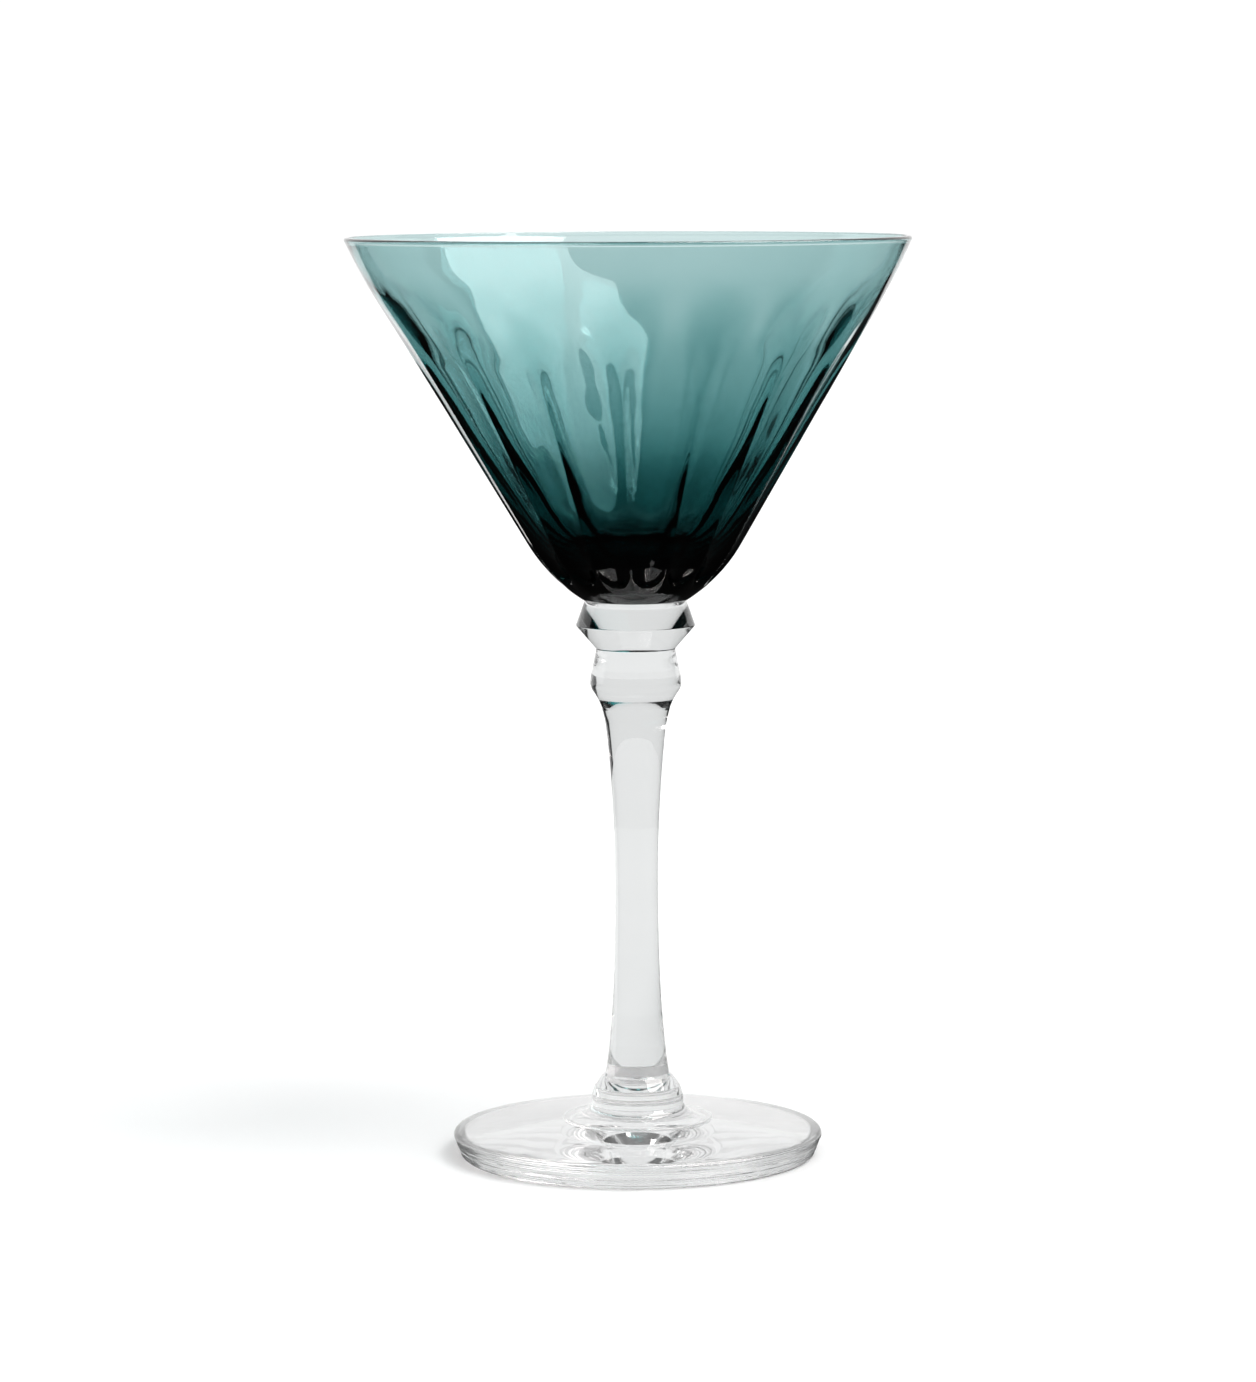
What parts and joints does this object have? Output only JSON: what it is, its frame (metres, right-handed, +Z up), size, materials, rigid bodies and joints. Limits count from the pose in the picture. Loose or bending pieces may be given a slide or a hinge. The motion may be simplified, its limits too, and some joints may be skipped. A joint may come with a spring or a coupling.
{
  "type": "martini glass",
  "caption": "Stemmed martini glass with a fluted teal cone bowl, two clear knops, a waisted clear stem and a thick disc foot.",
  "frame": {"origin": "centre of the underside of the foot, on the surface that the glass stands on", "axes": "+Z up along the axis of the stem; the bowl's flutes repeat about +Z; -Y is the front, from where the picture looks"},
  "size_m": [0.1122, 0.1122, 0.185],
  "materials": {
    "teal_glass": "polished teal glass, pale at the rim and nearly black at the base",
    "clear_glass": "polished clear glass"
  },
  "bodies": {
    "root": {"bowl": "teal_glass", "collar_knop": "clear_glass", "stem_knop": "clear_glass", "stem": "clear_glass", "base_button": "clear_glass", "foot": "clear_glass"}
  },
  "joints": []
}
